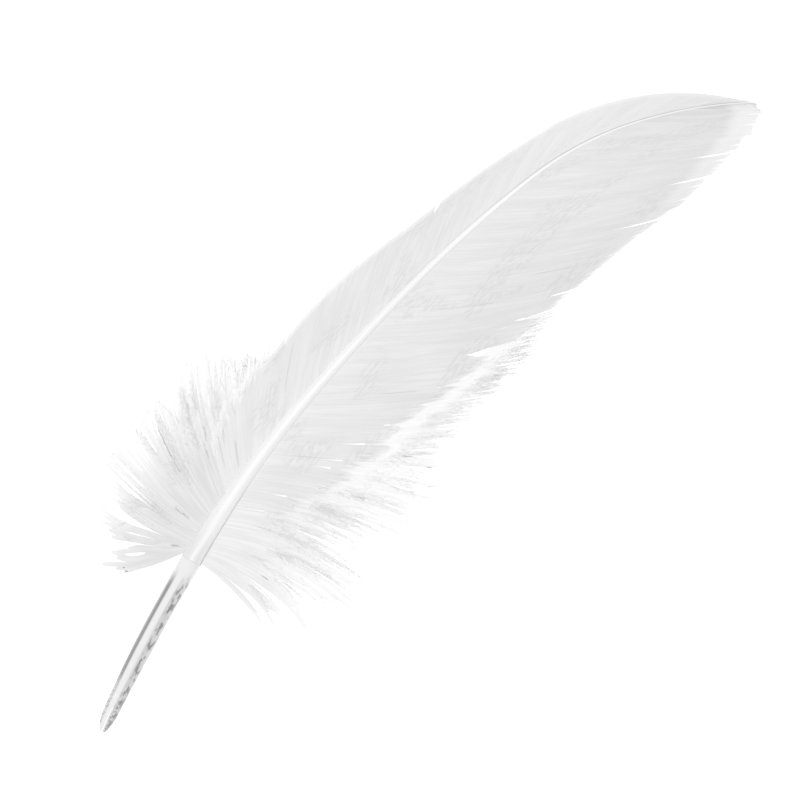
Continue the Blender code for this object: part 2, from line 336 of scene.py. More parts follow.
def cutter_box(name, columns, rows, places, finish):
    """A closed plate whose unit points go where the function says."""
    shape = bmesh.new()
    bmesh.ops.create_grid(shape, x_segments=columns, y_segments=rows, size=0.5)
    top = bmesh.ops.extrude_face_region(shape, geom=shape.faces[:], use_keep_orig=True)
    raised = [item for item in top["geom"] if isinstance(item, bmesh.types.BMVert)]
    bmesh.ops.translate(shape, vec=(0, 0, 1), verts=raised)
    bmesh.ops.recalc_face_normals(shape, faces=shape.faces)
    # Left, along and up make a left-handed set, so the faces are turned round.
    bmesh.ops.reverse_faces(shape, faces=shape.faces)
    return make_piece(name, shape, places, finish)


def scoop_places(unit, mesh):
    place = SCOOP[0][0] + (SCOOP[-1][0] - SCOOP[0][0]) * (unit[:, 1] + 0.5)
    half_width = 2 * BARREL_RADII[-1][1]
    up = np.where(unit[:, 2] > 0.5, smooth(SCOOP, place), -half_width)
    return on_shaft(place, 2 * half_width * unit[:, 0], up), None


def slit_places(unit, mesh):
    up = np.where(unit[:, 2] > 0.5, BARREL_RADII[-1][1], -BARREL_WALL)
    return on_shaft(-1 + (SLIT_LENGTH + 1) * (unit[:, 1] + 0.5), SLIT_WIDTH * unit[:, 0], up), None


def cut_away(piece, cutters):
    """Cuts the shapes out of the piece for good, and clears them away."""
    for cutter in cutters:
        boolean = piece.modifiers.new(cutter.name, "BOOLEAN")
        boolean.operation = "DIFFERENCE"
        boolean.solver = "EXACT"
        boolean.object = cutter
    bpy.context.view_layer.update()
    graph = bpy.context.evaluated_depsgraph_get()
    carved = bpy.data.meshes.new_from_object(piece.evaluated_get(graph))
    piece.modifiers.clear()
    piece.data = carved
    for cutter in cutters:
        bpy.data.objects.remove(cutter)


def shaft_notes(mesh):
    """How far along, left of and above the shaft's middle each point of a mesh lies, in millimetres."""
    points = np.empty(len(mesh.vertices) * 3, np.float32)
    mesh.vertices.foreach_get("co", points)
    points = (points.reshape(-1, 3) - ORIGIN) / MILLIMETRE
    middles = SHAFT[: math.ceil(BARREL_END) + 2]
    step = np.argmin(np.linalg.norm(points[:, None] - middles[None], axis=2), axis=1)
    step = np.clip(step, 1, len(middles) - 2)
    away = points - middles[step]
    axes = shaft_axes(middles[step - 1], middles[step + 1])
    ahead, left, up = (np.einsum("ij,ij->i", away, axis) for axis in axes)
    return step + ahead, left, up


def new_effect(name, **inputs):
    """A shader node group that puts out one mask, with its tree and what is given to it."""
    tree = bpy.data.node_groups.new(name, "ShaderNodeTree")
    for label, kind in inputs.items():
        tree.interface.new_socket(label, in_out="INPUT", socket_type=f"NodeSocket{kind}")
    tree.interface.new_socket("Mask", in_out="OUTPUT", socket_type="NodeSocketFloat")
    return tree, tree.nodes.new("NodeGroupInput").outputs


def finish_effect(tree, mask):
    result = tree.nodes.new("NodeGroupOutput")
    tree.links.new(mask, result.inputs["Mask"])
    return tree


def feed(tree, socket, value):
    """Links another node's value into a socket, or sets a plain value."""
    if isinstance(value, bpy.types.NodeSocket):
        tree.links.new(value, socket)
    else:
        socket.default_value = value


def place_effect(tree, effect, *values):
    """Places an effect in a material with its own values, and returns its mask."""
    placed = tree.nodes.new("ShaderNodeGroup")
    placed.node_tree = effect
    for socket, value in zip(placed.inputs, values):
        feed(tree, socket, value)
    return placed.outputs["Mask"]


def combine(tree, operation, *values):
    """A Math node's result for some masks or numbers."""
    node = tree.nodes.new("ShaderNodeMath")
    node.operation = operation
    for socket, value in zip(node.inputs, values):
        feed(tree, socket, value)
    return node.outputs[0]


def ramp(tree, value, start, end):
    """Rises smoothly from 0 to 1 as the value goes from start to end."""
    limits = tree.nodes.new("ShaderNodeMapRange")
    limits.interpolation_type = "SMOOTHSTEP"
    feed(tree, limits.inputs["Value"], value)
    feed(tree, limits.inputs["From Min"], start)
    feed(tree, limits.inputs["From Max"], end)
    return limits.outputs["Result"]


def streaks_effect():
    """Streaks: a noise that is drawn out along one direction, from 0 to 1."""
    tree, given = new_effect(
        "streaks", Vector="Vector", Stretch="Vector", Detail="Float", Low="Float", High="Float"
    )
    stretched = tree.nodes.new("ShaderNodeVectorMath")
    stretched.operation = "MULTIPLY"
    noise = tree.nodes.new("ShaderNodeTexNoise")
    noise.inputs["Scale"].default_value = 1
    tree.links.new(given["Vector"], stretched.inputs[0])
    tree.links.new(given["Stretch"], stretched.inputs[1])
    tree.links.new(stretched.outputs["Vector"], noise.inputs["Vector"])
    tree.links.new(given["Detail"], noise.inputs["Detail"])
    return finish_effect(tree, ramp(tree, noise.outputs["Fac"], given["Low"], given["High"]))


STREAKS = streaks_effect()


def add_streaks(tree, vector, stretch, detail=3, low=0.35, high=0.65):
    return place_effect(tree, STREAKS, vector, stretch, detail, low, high)


def blend_colour(tree, mask, low, high):
    """A colour between two, each of which is a grey value or another node's colour."""
    mix = tree.nodes.new("ShaderNodeMix")
    mix.data_type = "RGBA"
    tree.links.new(mask, mix.inputs["Factor"])
    for socket, colour in ((mix.inputs[6], low), (mix.inputs[7], high)):
        plain = not isinstance(colour, bpy.types.NodeSocket)
        feed(tree, socket, (colour, colour, colour, 1) if plain else colour)
    return mix.outputs[2]


def multiply(tree, mask, *factors):
    """The product of a mask and some other masks or numbers."""
    for factor in factors:
        mask = combine(tree, "MULTIPLY", mask, factor)
    return mask


def add_bump(tree, shader, height, distance, strength=1.0):
    bump = tree.nodes.new("ShaderNodeBump")
    bump.inputs["Distance"].default_value = distance
    bump.inputs["Strength"].default_value = strength
    tree.links.new(height, bump.inputs["Height"])
    tree.links.new(bump.outputs["Normal"], shader.inputs["Normal"])


def read_note(tree, name):
    """The vector that a piece keeps for each of its points, whole and in its three parts."""
    kept = tree.nodes.new("ShaderNodeAttribute")
    kept.attribute_name = name
    parts = tree.nodes.new("ShaderNodeSeparateXYZ")
    tree.links.new(kept.outputs["Vector"], parts.inputs["Vector"])
    return kept.outputs["Vector"], parts.outputs


def band_effect():
    """A band: 1 within the core's distance of the middle, and 0 beyond the edge's distance."""
    tree, given = new_effect("band", Value="Float", Middle="Float", Core="Float", Edge="Float")
    away = combine(tree, "SUBTRACT", given["Value"], given["Middle"])
    distance = combine(tree, "ABSOLUTE", away)
    return finish_effect(tree, ramp(tree, distance, given["Edge"], given["Core"]))


BAND = band_effect()


def add_band(tree, value, middle, core, edge):
    return place_effect(tree, BAND, value, middle, core, edge)


def strongest(tree, mask, *others):
    """The strongest of some masks."""
    for other in others:
        mask = combine(tree, "MAXIMUM", mask, other)
    return mask


# Bands in the horn, as (middle, core, edge): left of the barrel's crest, or along it. The left and
# right bands are painted shade, and the band by the crest is a painted highlight.
LEFT_EDGE_SHADE, LEFT_EDGE_SHADE_ALONG = (2.15, 0.25, 0.85), (37, 16, 24)
RIGHT_EDGE_SHADE = (-2.0, 0.5, 1.3)
UPPER_PULP_ALONG = (54, 3, 6)
HIGHLIGHT_BAND = (0.45, 0.6, 1.3)
HORN_GREYS = (0.72, 0.8)
HIGHLIGHT_GREY, PULP_AND_SHADE_GREY, JOINED_GREY = 0.98, 0.35, 0.97


def horn_finish():
    """Clear, pale horn. Dry grey pulp marks it in specks towards the nib and in patches on its right
    near its upper end. Painted shade darkens a band along its left side and patches along its right
    side, and a painted highlight lightens a band along its crest."""
    finish, tree, shader = plain_finish("horn")
    whole, (place, left, _) = read_note(tree, "shaft")
    patches = add_streaks(tree, whole, (0.42, 0.9, 0.6), 4, 0.46, 0.58)
    specks = add_streaks(tree, whole, (1.2, 2.2, 1.4), 4, 0.48, 0.6)
    fibres = add_streaks(tree, whole, (0.06, 2.5, 1.5), 2)
    wavy = add_streaks(tree, whole, (0.12, 0.1, 0.1), 2, 0.2, 0.8)
    # Painted shade: dark bands along the left side and, in patches, the right side of the tube.
    left_edge_shade = multiply(tree, add_band(tree, left, *LEFT_EDGE_SHADE), add_band(tree, place, *LEFT_EDGE_SHADE_ALONG))
    right_edge_shade = multiply(tree, add_band(tree, left, *RIGHT_EDGE_SHADE), patches)
    nib_pulp = multiply(tree, ramp(tree, place, 24, 6), specks)
    on_right = ramp(tree, left, -0.4, -1.6)
    upper_pulp = multiply(tree, add_band(tree, place, *UPPER_PULP_ALONG), patches, on_right)
    pulp_and_shade = strongest(tree, left_edge_shade, right_edge_shade, nib_pulp, upper_pulp)
    # Painted highlight: a light band just left of the crest.
    crest = add_band(tree, left, *HIGHLIGHT_BAND)
    off_highlight = combine(tree, "SUBTRACT", 1, crest)
    sides = blend_colour(tree, fibres, *HORN_GREYS)
    # The horn with the painted highlight blended in along its crest.
    clear = blend_colour(tree, crest, sides, HIGHLIGHT_GREY)
    # Painted shade and dry pulp, kept off the painted highlight.
    with_pulp_and_shade = blend_colour(tree, multiply(tree, pulp_and_shade, off_highlight), clear, PULP_AND_SHADE_GREY)
    joined = blend_colour(tree, ramp(tree, place, 51, 59), with_pulp_and_shade, JOINED_GREY)
    tree.links.new(joined, shader.inputs["Base Color"])
    shader.inputs["Roughness"].default_value = 0.12
    shader.inputs["IOR"].default_value = 1.54
    shader.inputs["Transmission Weight"].default_value = 0.15
    add_bump(tree, shader, wavy, 0.00005, 0.3)
    absorbing = tree.nodes.new("ShaderNodeVolumeAbsorption")
    absorbing.inputs["Color"].default_value = (0.62, 0.62, 0.6, 1)
    absorbing.inputs["Density"].default_value = 400
    tree.links.new(absorbing.outputs["Volume"], tree.nodes["Material Output"].inputs["Volume"])
    return finish


horn = horn_finish()
barrel_shape = rod(BARREL_SIDES, BARREL_RINGS)
bore(barrel_shape, BARREL_RINGS, through=True)
barrel = make_piece("barrel_horn", barrel_shape, barrel_places, horn)
cut_away(
    barrel,
    [
        cutter_box("scoop", 2, 48, scoop_places, horn),
        cutter_box("slit", 1, 8, slit_places, horn),
    ],
)
keep_notes(barrel.data, "shaft", shaft_notes(barrel.data))
barrel.data.shade_smooth()
barrel.data.set_sharp_from_angle(angle=BARREL_CREASE)
fit_piece(barrel, "barrel")


# The membrane: the dried pulp that once fed the feather, in crumpled grey cups strung on one
# strand. It lies loose inside the barrel and shows dimly through the horn.

CAPS_FROM, CAPS_TO, CAP_SPACING = 20, 56, 4
CAP_THICKNESS, CAP_TAIL = 0.3, 1.2
STRAND_RADIUS = 0.45
MEMBRANE_SIDES = 32
MEMBRANE_GREYS = (0.66, 0.88)
CRUMPLE = 0.28
CAP_ROOM = 0.12

CAP_RINGS = [
    (start + ahead, spread)
    for start in range(CAPS_FROM, CAPS_TO, CAP_SPACING)
    for ahead, spread in (
        (0, 0),
        (0.7 * CAP_THICKNESS, 0.5),
        (CAP_THICKNESS, 0.9),
        (1.3 * CAP_THICKNESS, 1),
        (2 * CAP_THICKNESS, 0.97),
        (2 * CAP_THICKNESS + 0.3 * CAP_TAIL, 0.55),
        (2 * CAP_THICKNESS + CAP_TAIL, 0),
    )
]


def membrane_places(unit, mesh):
    angle = np.arctan2(unit[:, 1], unit[:, 0])
    ring = np.rint((unit[:, 2] + 0.5) * (len(CAP_RINGS) - 1)).astype(int)
    place, spread = np.array(CAP_RINGS).T[:, ring]
    cap = smooth(BARREL_RADII, place) - BARREL_WALL - CAP_ROOM
    folds = np.sin(5 * angle + 2.1 * place) + np.sin(8 * angle - 1.3 * place) + np.sin(3 * angle)
    radius = STRAND_RADIUS + (cap - STRAND_RADIUS) * spread * (1 - 0.05 * (2 - folds) * spread)
    place = place + CRUMPLE * spread * folds
    return on_shaft(place, radius * np.cos(angle), radius * np.sin(angle)), None


def membrane_finish():
    """Papery dry pulp, grey with darker folds."""
    finish, tree, shader = plain_finish("membrane")
    coordinates = tree.nodes.new("ShaderNodeTexCoord")
    mottle = add_streaks(tree, coordinates.outputs["Object"], (1500, 1500, 1500), 4)
    tree.links.new(blend_colour(tree, mottle, *MEMBRANE_GREYS), shader.inputs["Base Color"])
    shader.inputs["Roughness"].default_value = 0.7
    add_bump(tree, shader, mottle, 0.0001)
    return finish


membrane_shape = rod(MEMBRANE_SIDES, len(CAP_RINGS))
membrane = make_piece("barrel_pulp_caps", membrane_shape, membrane_places, membrane_finish())
fit_piece(membrane, "barrel_membrane")


# The rachis: the feather's white spine, a smooth satin shell that tapers to a hair at the tip. A
# groove runs along its underside, and its hollow is full of pith.

RACHIS_END = 301.5
RACHIS_SIDES = 32
RACHIS_RINGS = 170
RACHIS_CREASE = math.radians(50)
RACHIS_FROM = BARREL_END + 0.04
RACHIS_WALL = 0.5
CAVITY_END, CAVITY_RINGS = 162, 40
RACHIS_GREYS = (0.94, 0.98)
PAINTED_CREST_SHADE, STREAK_GREY, SHADOW_LINE_GREY, THIN_END_GREY = 0.83, 0.6, 0.3, 0.93


def rachis_places(unit, mesh):
    angle = np.arctan2(unit[:, 1], unit[:, 0])
    inner = np.hypot(unit[:, 0], unit[:, 1]) < (1 + INNER) / 2
    end = np.where(inner, CAVITY_END, RACHIS_END)
    place = RACHIS_FROM + (end - RACHIS_FROM) * (unit[:, 2] + 0.5)
    left, up = shaft_section(place, angle, np.where(inner, RACHIS_WALL, 0))
    return on_shaft(place, left, up), (place, angle, up)


def rachis_finish():
    """White keratin with a satin shine. It has faint grey streaks where it leaves the barrel, painted
    shade that tones down its lit crest, a painted shadow line along its right side beside the trailing
    down, and is whitest where it is thin."""
    finish, tree, shader = plain_finish("keratin")
    whole, (place, angle, _) = read_note(tree, "shaft")
    streaks = add_streaks(tree, whole, (0.05, 2.4, 0.8), 3)
    fibres = add_streaks(tree, whole, (0.12, 9, 3), 4)
    # Painted shade: the crest is darkened to tone down its lit top.
    crest = add_band(tree, angle, math.pi / 2, 0.2, 1.3)
    grey = blend_colour(tree, fibres, *RACHIS_GREYS)
    grey = blend_colour(tree, multiply(tree, crest, 0.9), grey, PAINTED_CREST_SHADE)
    grey = blend_colour(tree, multiply(tree, streaks, ramp(tree, place, 84, 62), 0.45), grey, STREAK_GREY)
    grey = blend_colour(tree, ramp(tree, place, 150, 230), grey, THIN_END_GREY)
    # Painted shadow: a dark line along the shaft's right side beside the trailing down.
    painted_shadow_line = multiply(tree, ramp(tree, angle, 2.6, 2.85), ramp(tree, place, 96, 84), 0.8)
    tree.links.new(blend_colour(tree, painted_shadow_line, grey, SHADOW_LINE_GREY), shader.inputs["Base Color"])
    shader.inputs["Roughness"].default_value = 0.42
    shader.inputs["IOR"].default_value = 1.54
    add_bump(tree, shader, fibres, 0.00003, 0.5)
    return finish


rachis_shape = rod(RACHIS_SIDES, RACHIS_RINGS)
bore(rachis_shape, CAVITY_RINGS, through=False)
rachis = make_piece("rachis_shell", rachis_shape, rachis_places, rachis_finish(), notes="shaft")
rachis.data.set_sharp_from_angle(angle=RACHIS_CREASE)
fit_piece(rachis, "rachis")


# The pith: a light white foam, made of dry, empty cells. It fills the hollow of the rachis and its
# narrower end plugs the top of the barrel.

PITH_FROM, PITH_TO = 58.5, 160
PITH_POINT = 0.5  # of its full size, where it plugs the barrel
PITH_ROOM = 0.06
PITH_RINGS = 60


def pith_places(unit, mesh):
    angle = np.arctan2(unit[:, 1], unit[:, 0])
    place = PITH_FROM + (PITH_TO - PITH_FROM) * (unit[:, 2] + 0.5) ** 1.5
    plugged = PITH_POINT + (1 - PITH_POINT) * ease((place - PITH_FROM) / 4)
    left, up = shaft_section(place, angle, RACHIS_WALL + PITH_ROOM)
    return on_shaft(place, left * plugged, up * plugged), None


def pith_finish():
    """Dry foam with fine cells."""
    finish, tree, shader = plain_finish("pith")
    coordinates = tree.nodes.new("ShaderNodeTexCoord")
    cells = tree.nodes.new("ShaderNodeTexVoronoi")
    cells.inputs["Scale"].default_value = 4000
    tree.links.new(coordinates.outputs["Object"], cells.inputs["Vector"])
    foam = blend_colour(tree, cells.outputs["Distance"], 0.93, 0.8)
    tree.links.new(foam, shader.inputs["Base Color"])
    shader.inputs["Roughness"].default_value = 0.9
    add_bump(tree, shader, cells.outputs["Distance"], 0.0001)
    return finish


pith_shape = rod(RACHIS_SIDES, PITH_RINGS)
pith = make_piece("rachis_pith_core", pith_shape, pith_places, pith_finish())
pith.data.set_sharp_from_angle(angle=RACHIS_CREASE)
fit_piece(pith, "rachis_pith")


# The vanes: hundreds of flat barbs on each side of the rachis, zipped together into one thin web.
# A vane comes unzipped here and there, and its barbs end free along the edge.

# Barbs: (place, direction at the root, direction at the tip, webbed length, whole length). The
# directions are measured from +X. Past its webbed length a barb ends in loose down.
ROOT_DIRECTION, TIP_DIRECTION, WEB, WHOLE = 1, 2, 3, 4
LEADING_BARBS = (
    (63, 162, 148, 0, 24),
    (65.5, 128, 105, 0, 28),
    (68, 112, 93, 0, 33),
    (72, 102, 86, 0, 45),
    (77, 86, 66, 2, 43),
    (82, 74, 58, 8, 49),
    (88, 64, 50, 16, 45),
    (96, 53, 42, 24, 38),
    (105, 44, 35, 29, 31.5),
    (120, 40, 32, 31.8, 31.8),
    (140, 34, 25, 34, 34),
    (160, 31, 22, 30.5, 30.5),
    (180, 28, 18, 28.8, 28.8),
    (200, 24, 14, 26.8, 26.8),
    (220, 19, 8, 25.2, 25.2),
    (240, 8, -2, 22.5, 22.5),
    (255, -3, -14, 21, 21),
    (270, -14, -24, 17.2, 17.2),
    (285, -27, -34, 11, 11),
    (295, -35, -39, 5, 5),
    (299, -38, -41, 2.4, 2.4),
)
TRAILING_BARBS = (
    (63, -80, -102, 0, 28),
    (68, -60, -95, 0, 40),
    (74, -52, -88, 5, 52),
    (82, -52, -78, 14, 44),
    (97, -50, -64, 24, 54),
    (113, -46, -38, 36, 57),
    (131, -43, -33, 47, 65),
    (150, -43, -28, 56, 62),
    (180, -43, -27, 64.8, 64.8),
    (200, -42, -28, 69.2, 69.2),
    (220, -42, -31, 64.8, 64.8),
    (235, -43, -34, 58, 58),
    (250, -44, -38, 48.2, 48.2),
    (270, -43, -39, 32.5, 32.5),
    (290, -43, -41.5, 12.5, 12.5),
    (299, -43, -42.5, 3.5, 3.5),
)
LEADING_VANE = (86, 115, 138, 160, 196, 236, 299)
TRAILING_VANE = (84, 104, 122, 150, 176, 200, 220, 246, 299)
VANE_HEIGHT = 0.15  # of the rachis's width, above its middle
TIP_HEIGHT = 0.8  # every barb sags until its tip all but rests on the table
SAG_POWER = 1.6
ROOTED = 0.7  # how deep a barb's root sits in the rachis's side
BARB_SPACING = 0.48
BARB_ROWS = 30
BARB_RIDGE = 0.09
BARB_THICKNESS = 0.11
BARB_CREASE = math.radians(60)
SECTION_GAP = 0.004
WEB_CLEARANCE = 0.15  # above the table
ROW_CROWDING = 1.5  # how much closer a web's rows lie towards the barbs' tips
LOOSE_DOWN = 12  # a web's edge is loosest where its barbs go on this far past it
CLEFT_SPREAD = 10  # how many barbs beside a cleft make way for it


def barb_point(barbs, side, place, reach):
    """The points at a distance along the barbs that grow at each place."""
    width = smooth(RACHIS_WIDTHS, place)
    root = on_shaft(place, side * width / 2, VANE_HEIGHT * width)
    start = smooth(barbs, place, ROOT_DIRECTION)
    end = smooth(barbs, place, TIP_DIRECTION)
    whole = smooth(barbs, place, WHOLE)
    turned = np.radians(end - start) * reach / whole
    chord = reach * np.sinc(turned / 2 / math.pi)
    direction = np.radians(start) + turned / 2
    fallen = np.clip(reach / whole, 0, 1.1) ** SAG_POWER
    height = root[:, 2] + (TIP_HEIGHT - root[:, 2]) * fallen
    return np.stack(
        (root[:, 0] + chord * np.cos(direction), root[:, 1] + chord * np.sin(direction), height), axis=1
    )


def web_shape(barb_count, rows, opened, side):
    """A closed unit web whose barbs part from each other beyond their opened share of the way.

    The layer "owner" tells each point which barb it belongs to."""
    shape = bmesh.new()
    bmesh.ops.create_grid(shape, x_segments=2 * barb_count, y_segments=rows, size=0.5)
    for vertex in shape.verts:
        vertex.co.y = 0.5 - (0.5 - vertex.co.y) ** ROW_CROWDING
    parted = []
    for edge in shape.edges:
        middle = (edge.verts[0].co + edge.verts[1].co) / 2
        valley = (middle.x + 0.5) * barb_count
        lengthwise = abs(edge.verts[0].co.x - edge.verts[1].co.x) < 0.1 / barb_count
        if lengthwise and abs(valley - round(valley)) < 0.1 and 0 < round(valley) < barb_count:
            if middle.y + 0.5 > opened[round(valley)]:
                parted.append(edge)
    bmesh.ops.split_edges(shape, edges=parted)
    own = shape.verts.layers.float.new("owner")
    for vertex in shape.verts:
        middles = [face.calc_center_median().x for face in vertex.link_faces]
        vertex[own] = (sum(middles) / len(middles) + 0.5) * barb_count
    bottom = bmesh.ops.extrude_face_region(shape, geom=shape.faces[:], use_keep_orig=True)
    raised = [item for item in bottom["geom"] if isinstance(item, bmesh.types.BMVert)]
    bmesh.ops.translate(shape, vec=(0, 0, 1), verts=raised)
    bmesh.ops.recalc_face_normals(shape, faces=shape.faces)
    if side < 0:
        bmesh.ops.reverse_faces(shape, faces=shape.faces)
    return shape


def read_layer(mesh, name):
    values = np.empty(len(mesh.vertices), np.float32)
    mesh.attributes[name].data.foreach_get("value", values)
    return values.astype(float)


def zipped_groups(chance, count, least, most, clefts):
    """Splits a web's barbs into groups that stay zipped, with a new group at each deep cleft."""
    starts = {0, *clefts}
    start = 0
    while start < count:
        starts.add(start)
        start += int(chance.integers(least, most + 1))
    starts = np.array(sorted(starts))
    return np.searchsorted(starts, np.arange(count), "right") - 1, len(starts)


def make_web(name, node, barbs, side, ends, span, look, finish, seed):
    """A web of barbs between two places on the shaft, in groups that stay zipped.

    span gives where the barbs of a place start and end, and look says how ragged they are. Where
    the barbs go on past the web as down, the web's edge is looser."""
    chance = np.random.default_rng(seed)
    start, end = ends
    count = round((end - start) / look["spacing"])

    def place_of(barb):
        return start + (end - start - SECTION_GAP) * barb / count

    clefts = [
        (round((place - start) / (end - start) * count), depth, width)
        for place, depth, width in look["clefts"]
        if start < place < end
    ]
    edges = place_of(np.arange(count + 1.0))
    first, last = span(barbs, edges)
    length = last - first
    loose = np.clip((smooth(barbs, edges, WHOLE) - last) / LOOSE_DOWN, 0, 1)
    group, groups = zipped_groups(chance, count, *look["group"], [cleft[0] for cleft in clefts])
    centre = np.array([np.mean(np.flatnonzero(group == g)) + 0.5 for g in range(groups)])
    group_loose = loose[centre.astype(int)]
    depth = chance.uniform(*look["slit"], groups) * (1 + 1.2 * group_loose)
    depth = np.minimum(depth, 0.75 * length[centre.astype(int)])
    closing = chance.uniform(*look["pull"], groups) + 0.1 * group_loose
    trimmed = chance.normal(0, 1, groups) * (look["trim"] + 1.2 * group_loose)
    stagger = chance.normal(0, 1, count) * (look["stagger"] + 0.7 * loose[:-1])
    tilt = chance.uniform(-1, 1, groups) * look["tilt"]
    tilt[[0, -1]] = 0
    sway = chance.normal(0, 1, groups) * look["sway"]
    free = np.abs(chance.normal(0, 1, count + 1)) * (look["free"] + 2 * loose) + 0.4
    opened = 1 - free / length
    between = np.flatnonzero(np.diff(group)) + 1
    opened[between] = 1 - depth[group[between]] / length[between]
    for barb, cleft_depth, _ in clefts:
        opened[barb] = 1 - cleft_depth / length[barb]

    def places(unit, mesh):
        own = np.clip(np.floor(read_layer(mesh, "owner")).astype(int), 0, count - 1)
        along = unit[:, 1] + 0.5
        barb = (unit[:, 0] + 0.5) * count
        offset = barb - own - 0.5
        mine = group[own]
        begin, stop = span(barbs, place_of(barb))
        tip = stop + trimmed[mine] + stagger[own]
        to_stop = (stop - begin) * (1 - along)
        beyond = ease(1 - to_stop / depth[mine])
        closed_again = 1 - look["rejoin"] * ease(1 - to_stop / (0.5 * depth[mine]))
        apart = ease(1 - to_stop / (free[own] + 0.3))
        reach = begin + (stop - begin) * along + (tip - stop) * along**6
        narrowed = offset * (1 - (look["narrow"] + 0.4 * loose[own]) * apart)
        pulled = (centre[mine] - own - 0.5) * closing[mine] * beyond * closed_again
        for at, cleft_depth, width in clefts:
            away = own + 0.5 - at
            opening = ease((1 - to_stop / cleft_depth) * 1.6)
            aside = np.exp(-np.abs(away) / CLEFT_SPREAD) * opening
            pulled += np.sign(away) * width / 2 / look["spacing"] * aside
        place = place_of(own + 0.5 + narrowed + pulled) + sway[mine] * beyond
        points = barb_point(barbs, side, place, reach)
        ridge = BARB_RIDGE * (0.5 - np.abs(offset)) * (1 - 0.5 * along)
        swell = np.sin(place / 7.3 + reach / 11) * np.sin(reach / 17 + place / 29) * look["swell"]
        shingle = tilt[mine] * (own + 0.5 - centre[mine]) / 10 * np.clip(reach / 20, 0, 1)
        points[:, 2] += ridge + (swell + shingle) * np.clip(reach / 12, 0, 1) - look["under"]
        points[:, 2] += BARB_THICKNESS * (unit[:, 2] - 0.5)
        points[:, 2] = np.maximum(points[:, 2], WEB_CLEARANCE + 0.1 * unit[:, 2])
        return points, (place, reach, tip - reach)

    shape = web_shape(count, look["rows"], opened, side)
    piece = make_piece(name, shape, places, finish, notes="barb")
    piece.data.set_sharp_from_angle(angle=BARB_CREASE)
    fit_piece(piece, node)


def vane_span(barbs, place):
    web = smooth(barbs, place, WEB)
    return np.full_like(web, -ROOTED), web


def fold_shadow_effect():
    """A fold's painted shadow: a short, thin mark that tapers to its ends."""
    inputs = ("Place", "Reach", "At Place", "At Reach", "Half Width", "Half Length")
    tree, given = new_effect("fold_shadow", **dict.fromkeys(inputs, "Float"))
    across = add_band(tree, given["Place"], given["At Place"], 0, given["Half Width"])
    core = multiply(tree, given["Half Length"], 0.6)
    along = add_band(tree, given["Reach"], given["At Reach"], core, given["Half Length"])
    return finish_effect(tree, multiply(tree, across, along))


FOLD_SHADOW = fold_shadow_effect()


def add_fold_shadows(tree, place, reach, folds):
    """The mask of the painted shadows of short folds where stray barbs are caught.

    Each fold: its place, its reach, and half its width and length."""
    return strongest(tree, *(place_effect(tree, FOLD_SHADOW, place, reach, *fold_shadow) for fold_shadow in folds))


WEB_GREYS = (0.77, 0.83)
FINE_GREY, RIPPLE_GREY, FOLD_SHADOW_GREY, SHAFT_SHADOW_GREY = 0.7, 0.66, 0.62, 0.5
PALE_GREY, PALE_EDGE_GREY = 0.93, 0.97


def vane_finish(name, folds, whiter_tip, shaft_line, pale_edge):
    """A silky white web: fine streaks along the barbs, faint ripples across them, broad soft tones,
    a thin, lighter rim and the painted shadows of a few folded barbs.

    Towards the feather's tip the web may be whiter, have a fine painted shadow line beside the shaft,
    and a broad pale edge towards its barbs' tips."""
    finish, tree, shader = plain_finish(name)
    whole, (place, reach, to_tip) = read_note(tree, "barb")
    fine = add_streaks(tree, whole, (2.1, 0.05, 0), 2, 0.3, 0.7)
    broad = add_streaks(tree, whole, (0.22, 0.035, 0), 3, 0.3, 0.7)
    ripples = add_streaks(tree, whole, (0.35, 0.9, 0), 1, 0.44, 0.6)
    rippled = add_streaks(tree, whole, (0.05, 0.06, 0), 1, 0.52, 0.62)
    tipward = ramp(tree, place, 150, 260)
    rim = ramp(tree, to_tip, 4, 0.3)
    # Paler over a broad band towards the barbs' tips.
    broad_pale_edge = ramp(tree, to_tip, 12, 6)
    # Painted shadow: a fine dark line in the web beside the raised shaft.
    shaft_shadow_mask = ramp(tree, reach, 0.9, 0.1)
    web = blend_colour(tree, broad, *WEB_GREYS)
    web = blend_colour(tree, multiply(tree, fine, 0.5), web, FINE_GREY)
    web = blend_colour(tree, multiply(tree, ripples, rippled, 0.5), web, RIPPLE_GREY)
    web = blend_colour(tree, multiply(tree, tipward, whiter_tip), web, PALE_GREY)
    web = blend_colour(tree, multiply(tree, rim, 0.8), web, PALE_GREY)
    web = blend_colour(tree, multiply(tree, broad_pale_edge, tipward, pale_edge), web, PALE_EDGE_GREY)
    web = blend_colour(tree, multiply(tree, shaft_shadow_mask, tipward, shaft_line), web, SHAFT_SHADOW_GREY)
    # Painted shadows of folded barbs.
    web = blend_colour(tree, add_fold_shadows(tree, place, reach, folds), web, FOLD_SHADOW_GREY)
    tree.links.new(web, shader.inputs["Base Color"])
    shader.inputs["Roughness"].default_value = 0.55
    shader.inputs["Sheen Weight"].default_value = 0.15
    shader.inputs["Sheen Roughness"].default_value = 0.4
    add_bump(tree, shader, fine, 0.00006, 0.6)
    return finish


def make_vane(name, barbs, side, splits, look, finish, seed):
    """One vane, as a web in each of the sections between its splits."""
    for number, ends in enumerate(zip(splits, splits[1:]), 1):
        node = f"{name}_{number}"
        make_web(f"{node}_barbs", node, barbs, side, ends, vane_span, look, finish, seed + number)


